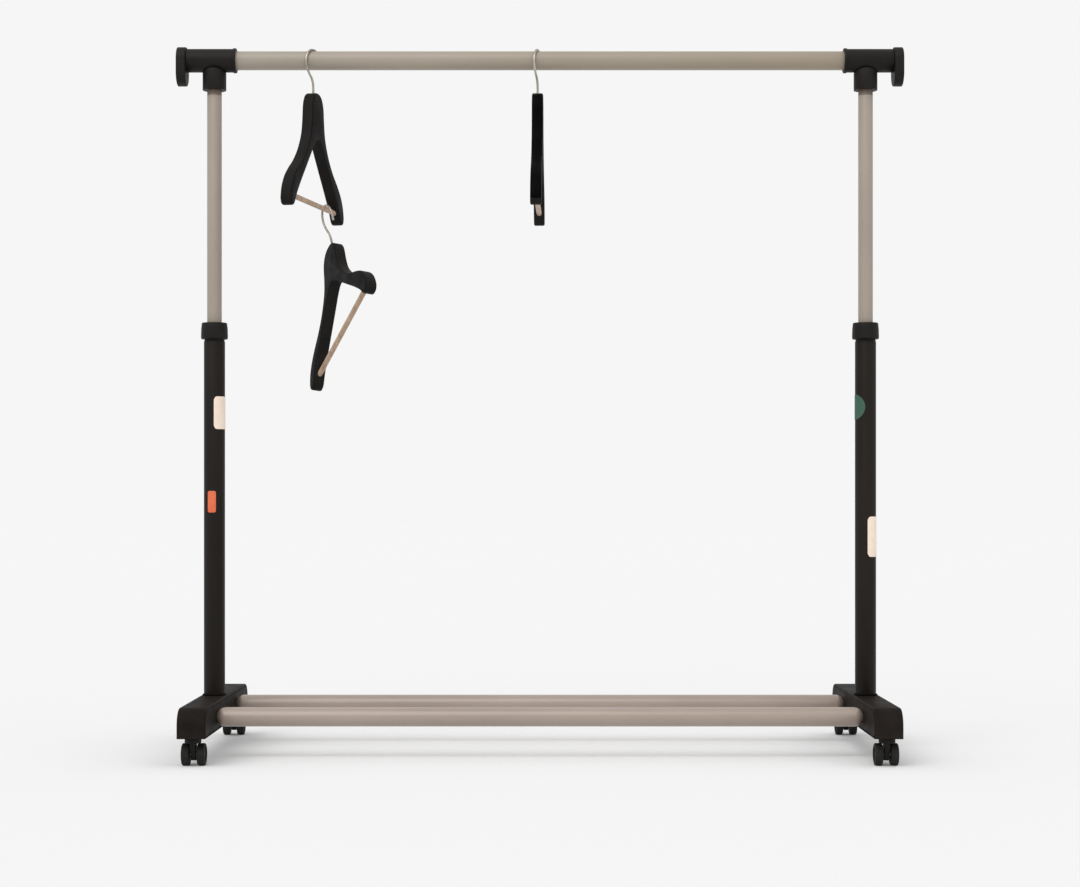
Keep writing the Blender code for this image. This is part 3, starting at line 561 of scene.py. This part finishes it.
def makeEndStop(side, sign):
    e = endStop
    start = rack["uprightX"] + tee["outer"] + e["gap"]
    clearSelection()
    bpy.ops.mesh.primitive_circle_add(vertices=96, radius=e["radius"], fill_type="NGON",
                                      rotation=(0, pi / 2, 0), location=(start, 0, rack["railHeight"]))
    plate = named("end_plate_" + side)
    settle(plate)
    for point in plate.data.vertices:   # the lower half is pulled down into a long round-ended plate
        if point.co.z < rack["railHeight"] + 1e-6:
            point.co.z -= e["drop"]
    bpy.ops.object.mode_set(mode="EDIT")
    bpy.ops.mesh.select_all(action="SELECT")
    bpy.ops.mesh.extrude_region_move(TRANSFORM_OT_translate={"value": (e["thickness"], 0, 0)})
    bpy.ops.mesh.inset(thickness=e["panel"])
    bpy.ops.mesh.inset(thickness=e["panelDepth"], depth=-e["panelDepth"])
    bpy.ops.object.mode_set(mode="OBJECT")
    faceOutwards(plate)
    softenEdges(plate, e["innerEdge"], 4, 60)
    pin = ringStack("pin", (start, 0, rack["railHeight"]), (1, 0, 0),
                    [(e["spigot"], -e["reach"]), (e["spigot"], 0.004)], 48, True)
    combine(plate, softenEdges(pin, 0.0006, 2), "UNION")
    if sign < 0:
        plate.scale.x = -1
        settle(plate)
        faceOutwards(plate)
    return dress(plate, moulding, "end_stop_" + side, 40)


for side, sign in sides:
    makeEndStop(side, sign)
print("end stops done")


# feet

foot = {"width": 0.046, "length": 0.504, "low": 0.046, "high": 0.094, "shoulder": 0.028, "edge": 0.0026,
        "seam": 0.0004, "seamWidth": 0.0015, "ring": 0.0205, "ringHigh": 0.0962, "wall": 0.003,
        "railY": 0.115, "railZ": 0.068, "railBore": 0.0078,
        "casterY": 0.228, "stemBore": 0.0043, "stemTop": 0.081, "seat": 0.0637, "uprightBore": 0.0183,
        "countersink": 0.0016, "boltBore": 0.0046, "screwBore": 0.0028, "railReach": 0.0363, "railRim": 0.0004,
        "chambers": ((0.0213, 0.0950), (0.1350, 0.2165)), "endChamber": (0.2395, 0.2475), "endDrop": 0.024,
        "recessEnd": 0.2168, "recessTop": 0.0487, "seatHalf": 0.0213, "seatFloor": 0.005}


def makeFoot(side, sign):
    f = foot
    x = rack["uprightX"]
    beam = box("foot_beam_" + side, (x - f["width"] / 2, -f["length"] / 2, f["low"]),
               (x + f["width"] / 2, f["length"] / 2, f["high"]))
    beam.data.materials.append(footPlastic)
    beam.data.materials.append(seamPaintedShade)
    selectEdges(beam, lambda a, b: min(a.z, b.z) > f["high"] - 1e-5 and abs(a.y - b.y) < 1e-6)
    bpy.ops.object.mode_set(mode="EDIT")
    bpy.ops.mesh.bevel(offset=f["shoulder"], segments=12, affect="EDGES")
    bpy.ops.object.mode_set(mode="OBJECT")
    # long edges and the uprights of the ends
    selectEdges(beam, lambda a, b: abs(a.x - b.x) < 1e-6 and min(a.z, b.z) > f["low"] - 1e-5
                and not (a.z < f["low"] + 1e-5 and b.z < f["low"] + 1e-5))
    bpy.ops.object.mode_set(mode="EDIT")
    bpy.ops.mesh.bevel(offset=f["edge"], segments=4, affect="EDGES")
    bpy.ops.object.mode_set(mode="OBJECT")
    # a fine seam groove just inside the edge of both side faces; its walls and floor take the near-black copy
    # of the plastic, as painted shade
    selectFaces(beam, lambda face: abs(face.normal.x) > 0.999 and face.area > 0.005)
    bpy.ops.object.mode_set(mode="EDIT")
    bpy.ops.mesh.inset(thickness=f["seam"])
    beam.active_material_index = 1
    bpy.ops.object.material_slot_assign()
    bpy.ops.mesh.inset(thickness=f["seamWidth"], depth=-f["seamWidth"])
    bpy.ops.mesh.inset(thickness=f["seamWidth"], depth=f["seamWidth"])
    beam.active_material_index = 0
    bpy.ops.object.material_slot_assign()
    bpy.ops.object.mode_set(mode="OBJECT")
    # a thin raised ring stands round the upright, all in the near-black seam finish, which paints the shade at
    # the upright's base
    ring = ringStack("ring", (x, 0, 0), (0, 0, 1),
                     [(f["ring"], f["high"] - 0.003), (f["ring"], f["ringHigh"] - 0.0006),
                      (f["ring"] - 0.0006, f["ringHigh"])], 64, True)
    ring.data.materials.append(footPlastic)
    ring.data.materials.append(seamPaintedShade)
    for face in ring.data.polygons:
        face.material_index = 1
    combine(beam, ring, "UNION")

    # the underside is hollow between the ribs, the bosses and the upright's seat
    half = f["width"] / 2 - f["wall"]
    below, roof = f["low"] - 0.016, f["high"] - f["wall"]
    cuts = []
    for near, far in f["chambers"]:
        for low, high in ((-far, -near), (near, far)):
            cuts.append(box("chamber", (x - half, low, below), (x + half, high, roof)))
    near, far = f["endChamber"]
    for low, high in ((-far, -near), (near, far)):
        cuts.append(box("chamber", (x - half, low, below), (x + half, high, roof - f["endDrop"])))
    for reach, top in ((f["recessEnd"], f["recessTop"]), (f["seatHalf"], f["seat"] - f["seatFloor"])):
        cuts.append(box("recess", (x - half, -reach, below), (x + half, reach, top)))
    up, along = (0, 0, 1), (1, 0, 0)
    bore, wide = f["uprightBore"], f["uprightBore"] + f["countersink"]
    cuts.append(ringStack("seat", (x, 0, 0), up, [(bore, f["seat"]), (bore, f["high"] - 0.0012),
                                                  (wide, f["high"] + 0.0004), (wide, 0.12)], 64, True))
    cuts.append(ringStack("bolt", (x, 0, 0), up, [(f["boltBore"], below), (f["boltBore"], 0.08)], 24, True))
    inner = x - f["width"] / 2
    for end in (-1, 1):
        cuts.append(ringStack("stem", (x, end * f["casterY"], 0), up,
                              [(f["stemBore"], below), (f["stemBore"], f["stemTop"])], 32, True))
        rail = (0, end * f["railY"], f["railZ"])
        cuts.append(ringStack("rail", rail, along,
                              [(f["railBore"] + f["railRim"], inner - 0.01),
                               (f["railBore"] + f["railRim"], inner),
                               (f["railBore"], inner + f["railRim"]), (f["railBore"], inner + f["railReach"])],
                              64, True))
        cuts.append(ringStack("screw", rail, along, [(f["screwBore"], x), (f["screwBore"], x + 0.04)],
                              24, True))
    for cut in cuts:
        combine(beam, cut, "DIFFERENCE")
    if sign < 0:
        beam.scale.x = -1
        settle(beam)
    faceOutwards(beam)
    return dress(beam, footPlastic, "foot_" + side, 30)


for side, sign in sides:
    makeFoot(side, sign)
print("feet done")


# casters

caster = {"spacing": 0.228, "wheel": 0.018, "wheelWidth": 0.0125, "width": 0.038, "trail": 0.010,
          "neck": 0.0135, "neckLow": 0.0372, "neckHigh": 0.0454, "web": 0.00375, "webRadius": 0.0100,
          "axle": 0.0028,
          "hubRecess": 0.0022, "hubCap": 0.0012, "stem": 0.0043, "shoulder": 0.0014}


def makeWheel(sign):
    # one wheel of a pair, at the origin's caster: round-shouldered tread and a sunk hub disc
    w = caster
    r, half = w["wheel"], w["wheelWidth"] / 2
    hub, cap = 0.68 * r, half - w["hubRecess"]
    rings = [(w["axle"], -half), (r - 0.0011, -half), (r, -half + 0.0012), (r, half - w["shoulder"]),
             (r - w["shoulder"], half), (hub + 0.0008, half), (hub, half - 0.0008), (hub - 0.0004, cap),
             (hub * 0.52, cap), (hub * 0.46, cap + 0.0007), (0.0008, cap + 0.0007), (0.0008, cap - w["hubCap"]),
             (w["axle"], cap - w["hubCap"]), (w["axle"], -half)]
    middle = (sign * (w["width"] / 2 - half), w["trail"], w["wheel"])
    wheel = ringStack("wheel", middle, (sign, 0, 0), rings, 56)
    softenEdges(wheel, 0.0006, 2, 25)
    return wheel


def makeHousing():
    w = caster
    top = w["neckHigh"]
    rings = [(w["neck"] - 0.0010, w["neckLow"]), (w["neck"], w["neckLow"] + 0.001), (w["neck"], top - 0.001),
             (w["neck"] - 0.001, top), (w["stem"], top), (w["stem"], top - 0.0065), (0.0006, top - 0.0065),
             (0.0006, w["neckLow"]), (w["neck"] - 0.0010, w["neckLow"])]
    disc = softenEdges(ringStack("housing", (0, 0, 0), (0, 0, 1), rings, 56), 0.0006, 2, 25)
    # the web between the wheels hangs from the disc and ends round under the axle
    web = ringStack("web", (0, w["trail"], w["wheel"]), (1, 0, 0), [(w["webRadius"], -w["web"]),
                                                                    (w["webRadius"], w["web"])], 48, True)
    for point in web.data.vertices:
        if point.co.z > w["wheel"] + 0.001:
            point.co.z = w["neckLow"] + 0.002
            if point.co.y < w["trail"]:
                point.co.y -= 0.0105
    softenEdges(faceOutwards(web), 0.0008, 2, 50)
    combine(disc, web, "UNION")
    bore = ringStack("bore", (0, w["trail"], w["wheel"]), (1, 0, 0),
                     [(w["axle"], -0.02), (w["axle"], 0.02)], 32, True)
    combine(disc, bore, "DIFFERENCE")
    return faceOutwards(disc)


housingPattern = makeHousing()
wheelPatterns = {"l": makeWheel(-1), "r": makeWheel(1)}
for corner, across, along in corners:
    spot = (across * rack["uprightX"], along * caster["spacing"], 0)
    dress(copied(housingPattern, "housing_" + corner, spot), moulding,
          "caster_" + corner + "_housing", 30)
    for hand, pattern in wheelPatterns.items():
        dress(copied(pattern, "wheel_" + corner + "_" + hand, spot), tread,
              "caster_" + corner + "_wheel_" + hand, 35)
for pattern in (housingPattern, *wheelPatterns.values()):
    bpy.data.objects.remove(pattern, do_unlink=True)
print("casters done")


# hangers

hanger = {"thickness": 0.019, "edge": 0.0028, "barRadius": 0.0045, "barDrop": 0.190, "barHalf": 0.122,
          "wire": 0.002, "hookRadius": 0.020, "hookRise": 0.077, "insert": 0.016, "gap": 0.0003,
          "narrowBelow": 0.8, "paintedLitInnerAbove": 0.2,
          "outer": ((0.000, 0.000), (0.010, 0.0010), (0.019, 0.0052), (0.026, 0.0130), (0.031, 0.026),
                    (0.034, 0.050), (0.041, 0.076), (0.060, 0.104), (0.084, 0.126), (0.108, 0.142),
                    (0.128, 0.158), (0.141, 0.175), (0.147, 0.192), (0.147, 0.202), (0.141, 0.209),
                    (0.128, 0.207)),
          "inner": ((0.114, 0.188), (0.092, 0.164), (0.068, 0.140), (0.042, 0.114), (0.016, 0.088),
                    (0.000, 0.080))}
places = {"a": {"x": -0.390, "yaw": 78.0, "hookYaw": 62.0},
          "c": {"x": -0.004, "yaw": 88.8, "hookYaw": 74.0},
          "b": {"along": 0.068, "yaw": -66.2, "tilt": -33.7, "lean": -6.7,
                "hookYaw": -61.4, "hookLean": 10.8}}


def smoothLine(points, steps, closed=False):
    # points along a smooth curve through the given ones
    count = len(points)
    line = []
    for i in range(count if closed else count - 1):
        if closed:
            p0, p1, p2, p3 = (points[(i + k) % count] for k in (-1, 0, 1, 2))
        else:
            p0, p1, p2, p3 = points[max(i - 1, 0)], points[i], points[i + 1], points[min(i + 2, count - 1)]
        for k in range(steps):
            t = k / steps
            line.append(0.5 * (2 * p1 + (p2 - p0) * t + (2 * p0 - 5 * p1 + 4 * p2 - p3) * t ** 2
                               + (3 * p1 - p0 - 3 * p2 + p3) * t ** 3))
    if not closed:
        line.append(points[-1])
    return line


def makeHangerBody(name, neck, turn):
    # the yoke: an outline given its thickness, with round edges, in place on its neck
    h = hanger
    right = [Vector((u, 0, -v)) for u, v in h["outer"] + h["inner"]]
    left = [Vector((-p.x, 0, p.z)) for p in reversed(right[1:-1])]
    line = smoothLine(right + left, 4, True)
    clearSelection()
    bpy.ops.mesh.primitive_circle_add(vertices=len(line), radius=0.1, fill_type="NGON")
    yoke = named("hanger_yoke_" + name)
    for point, spot in zip(yoke.data.vertices, line):
        point.co = spot - Vector((0, h["thickness"] / 2, 0))
    bpy.ops.object.mode_set(mode="EDIT")
    bpy.ops.mesh.select_all(action="SELECT")
    bpy.ops.mesh.extrude_region_move(TRANSFORM_OT_translate={"value": (0, h["thickness"], 0)})
    bpy.ops.object.mode_set(mode="OBJECT")
    faceOutwards(yoke)
    softenEdges(yoke, h["edge"], 5, 60)
    wireHole = ringStack("wireHole", (0, 0, 0), (0, 0, 1), [(h["wire"] + h["gap"], -h["insert"] - h["gap"]),
                                                            (h["wire"] + h["gap"], 0.01)], 24, True)
    barHole = ringStack("barHole", (0, 0, -h["barDrop"]), (1, 0, 0),
                        [(h["barRadius"] + h["gap"], -h["barHalf"] - h["gap"]),
                         (h["barRadius"] + h["gap"], h["barHalf"] + h["gap"])], 32, True)
    combine(yoke, wireHole, "DIFFERENCE")
    combine(yoke, barHole, "DIFFERENCE")
    yoke.matrix_world = Matrix.Translation(neck) @ turn.to_4x4()
    settle(yoke)
    dress(faceOutwards(yoke), hangerFace, "hanger_" + name + "_body", 35)
    yoke.data.materials.append(hangerEdgePaintedLit)   # the narrow sides get a rougher, lighter copy of the black finish; the lighter tone is painted light, and on hanger c only the downward-facing sides get it
    across, down = turn @ Vector((0, 1, 0)), turn @ Vector((0, 0, -1))
    for face in yoke.data.polygons:
        narrow = abs(face.normal.dot(across)) < h["narrowBelow"]
        face.material_index = int(narrow and (name != "c" or face.normal.dot(down) > h["paintedLitInnerAbove"]))

    way = turn @ Vector((1, 0, 0))
    middle = neck - turn @ Vector((0, 0, h["barDrop"]))
    r, half = h["barRadius"], h["barHalf"]
    bar = ringStack("trouser_bar_" + name, middle, way, [(r - 0.0006, -half), (r, -half + 0.0006),
                                                         (r, half - 0.0006), (r - 0.0006, half)], 32, True)
    dress(bar, barWood("barWood_" + name, way, barLook), "hanger_" + name + "_bar")


def makeHook(name, top, turn, neck, up):
    # the wire hook, from its tip over the rail and down an S-bend into the yoke's neck
    h = hanger
    r = h["hookRadius"] + h["wire"]
    flat = [(r + 0.0006, -r - 0.006), (r + 0.0003, -r - 0.003)]
    flat += [(r * cos(radians(a)), -r + r * sin(radians(a))) for a in range(0, 196, 15)]
    flat += [(-0.841 * r, -1.568 * r), (-0.545 * r, -1.932 * r), (-0.227 * r, -2.250 * r),
             (-0.055 * r, -2.614 * r), (0.0, -3.023 * r)]
    points = [top + turn @ Vector((x, 0, z)) for x, z in flat]
    points += [neck + up * 0.0045, neck, neck - up * h["insert"] / 2, neck - up * (h["insert"] - h["gap"])]
    line = smoothLine(points, 6)
    clearSelection()
    bpy.ops.curve.primitive_nurbs_path_add()
    wire = named("hook_wire_" + name)
    wire.data.splines.clear()
    spline = wire.data.splines.new("POLY")
    spline.points.add(len(line) - 1)
    for point, spot in zip(spline.points, line):
        point.co = (*spot, 1)
    wire.data.dimensions = "3D"
    wire.data.bevel_depth = h["wire"]
    wire.data.bevel_resolution = 5
    wire.data.use_fill_caps = True
    takeUp(wire)
    bpy.ops.object.convert(target="MESH")
    wire = named("hook_wire_" + name)
    dress(faceOutwards(wire), hookWire, "hanger_" + name + "_hook", 50)


def makeHangers():
    up = Vector((0, 0, 1))
    h = hanger
    for name in ("a", "c"):
        spot = places[name]
        top = Vector((spot["x"], 0, rack["railHeight"] + tubes["hangRailRadius"] + h["gap"] + h["wire"]))
        neck = top - up * (h["hookRise"] - h["wire"])
        turn = Matrix.Rotation(radians(spot["yaw"]), 3, "Z")
        makeHangerBody(name, neck, turn)
        makeHook(name, top, Matrix.Rotation(radians(spot["hookYaw"]), 3, "Z"), neck, up)
        if name == "a":
            bar = turn @ Vector((places["b"]["along"], 0, 0)) + neck - up * h["barDrop"]
    spot = places["b"]
    top = bar + up * (h["barRadius"] + h["gap"] + h["wire"])
    hookTurn = Euler((radians(spot["hookLean"]), 0, radians(spot["hookYaw"])), "YXZ").to_matrix()
    neck = top - hookTurn @ up * (h["hookRise"] - h["wire"])
    turn = Euler((radians(spot["lean"]), radians(spot["tilt"]), radians(spot["yaw"])), "YXZ").to_matrix()
    makeHangerBody("b", neck, turn)
    makeHook("b", top, hookTurn, neck, turn @ up)


makeHangers()
print("hangers done")


# parts kept from the CAD, with their own finishes

for side in ("left", "right"):
    repaint("collet_" + side, nylon)
    repaint("guide_bush_" + side, nylon)
    repaint("upright_bolt_" + side, steel)
    for place in ("front", "back"):
        repaint("rail_screw_" + place + "_" + side, steel)
for corner in ("fl", "fr", "bl", "br"):
    repaint("caster_" + corner + "_stem", steel)
    repaint("caster_" + corner + "_axle", steel)
repaint("sticker_cream_left", labelCream)
repaint("sticker_cream_right", labelCream)
repaint("sticker_orange_left", labelOrange)
repaint("sticker_green_right", labelGreen)
print("small parts finished")


# floor, light and camera

studio = {"floor": (0.806, 0.806, 0.806), "backdrop": shade(246, 246, 246), "sky": 0.80,
          "key": {"strength": 1.25, "softness": 50, "lean": 42, "turn": -28},
          "fill": {"strength": 0.28, "softness": 90, "lean": 55, "turn": 40}}
lens = {"place": (0, -3.68, 0.43), "length": 71.3, "sensor": 36, "rise": 0.052, "near": 0.05, "far": 100}


def makeStudio():
    clearSelection()
    bpy.ops.mesh.primitive_plane_add(size=60, location=(0, 0, 0))
    floor = named("floor")
    surface, tree, links, shader = freshSurface("floorPaper")
    shader.inputs["Base Color"].default_value = (*studio["floor"], 1)
    shader.inputs["Roughness"].default_value = 0.9
    shader.inputs["Specular IOR Level"].default_value = 0.0
    floor.data.materials.append(surface)
    world = bpy.data.worlds.new("studioSky")
    scene.world = world
    world.use_nodes = True
    tree, links = world.node_tree.nodes, world.node_tree.links
    seen, lit = tree["Background"], tree.new("ShaderNodeBackground")
    ray, split = tree.new("ShaderNodeLightPath"), tree.new("ShaderNodeMixShader")
    seen.inputs["Color"].default_value = (*studio["backdrop"], 1)   # what is seen behind the rack
    lit.inputs["Color"].default_value = (1, 1, 1, 1)                # what lights it
    lit.inputs["Strength"].default_value = studio["sky"]
    links.new(ray.outputs["Is Camera Ray"], split.inputs[0])
    links.new(lit.outputs[0], split.inputs[1])
    links.new(seen.outputs[0], split.inputs[2])
    links.new(split.outputs[0], tree["World Output"].inputs["Surface"])
    for name in ("key", "fill"):
        look = studio[name]
        bpy.ops.object.light_add(type="SUN", rotation=(radians(look["lean"]), 0, radians(look["turn"])),
                                 location=(0, 0, 3))
        light = named(name + "Light")
        light.data.energy = look["strength"]
        light.data.angle = radians(look["softness"])
    scene.view_settings.view_transform = "Standard"


def makeCamera():
    bpy.ops.object.camera_add(location=lens["place"], rotation=(pi / 2, 0, 0))
    camera = named("camera")
    camera.data.sensor_width, camera.data.lens = lens["sensor"], lens["length"]
    camera.data.shift_y = lens["rise"]
    camera.data.clip_start, camera.data.clip_end = lens["near"], lens["far"]
    scene.camera = camera


makeStudio()
makeCamera()
print("studio done")
